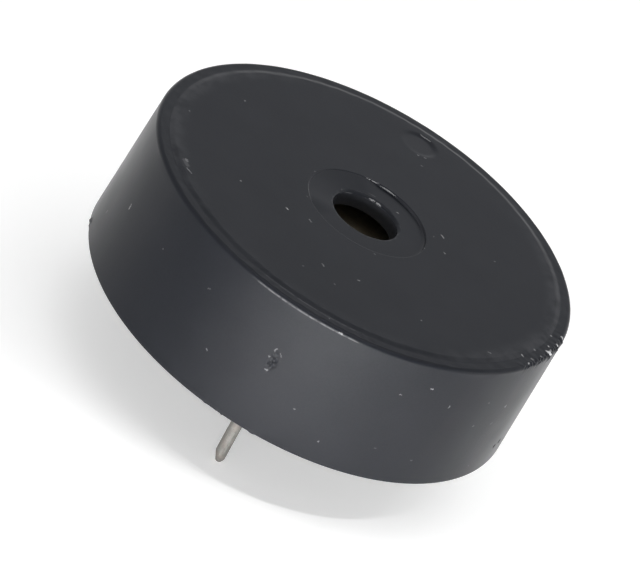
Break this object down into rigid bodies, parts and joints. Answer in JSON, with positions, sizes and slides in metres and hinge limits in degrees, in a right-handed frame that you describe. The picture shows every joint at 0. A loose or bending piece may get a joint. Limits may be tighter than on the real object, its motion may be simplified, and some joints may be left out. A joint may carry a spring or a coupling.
{
  "type": "piezo buzzer",
  "caption": "Round black buzzer with a central sound hole on its face and straight wire pins on its back, for soldering to a circuit board.",
  "frame": {"origin": "centre of the seating plane, which is the lower rim of the case, midway between the two pins", "axes": "+Z along the case axis towards the sounding face; the pins stand along -Z, the positive one at +Y under the dimple"},
  "size_m": [0.024, 0.024, 0.0125],
  "materials": {
    "case_plastic": "fine moulded satin, scuffed and dusty",
    "sealing_resin": "cast, smooth and slightly glossy",
    "tinned_pin": "dull tin plate",
    "brass_plate": "rolled sheet",
    "piezo_ceramic": "matt fired",
    "silver_layer": "fired silver, matt",
    "silicone_bead": "soft translucent white",
    "board_laminate": "paper laminate",
    "copper_track": "copper under flux",
    "chip_black": "moulded epoxy",
    "leg_tin": "tin plate",
    "solder": "bright solder",
    "lead_red": "insulation",
    "lead_white": "insulation",
    "lead_black": "insulation"
  },
  "bodies": {
    "root": {"housing": "case_plastic", "sealing_resin": "sealing_resin", "positive_pin": "tinned_pin", "negative_pin": "tinned_pin", "diaphragm": "brass_plate", "ceramic_disc": "piezo_ceramic", "main_electrode": "silver_layer", "feedback_electrode": "silver_layer", "edge_adhesive": "silicone_bead", "circuit_board": "board_laminate", "board_tracks": "copper_track", "transistor_body": "chip_black", "transistor_legs": "leg_tin", "load_resistor": "chip_black", "bias_resistor": "chip_black", "feedback_resistor": "chip_black", "resistor_ends": "leg_tin", "main_lead": "lead_red", "feedback_lead": "lead_white", "ground_lead": "lead_black", "main_element_solder": "solder", "feedback_element_solder": "solder", "ground_element_solder": "solder", "main_board_solder": "solder", "feedback_board_solder": "solder", "ground_board_solder": "solder", "positive_pin_solder": "solder", "negative_pin_solder": "solder"}
  },
  "joints": []
}
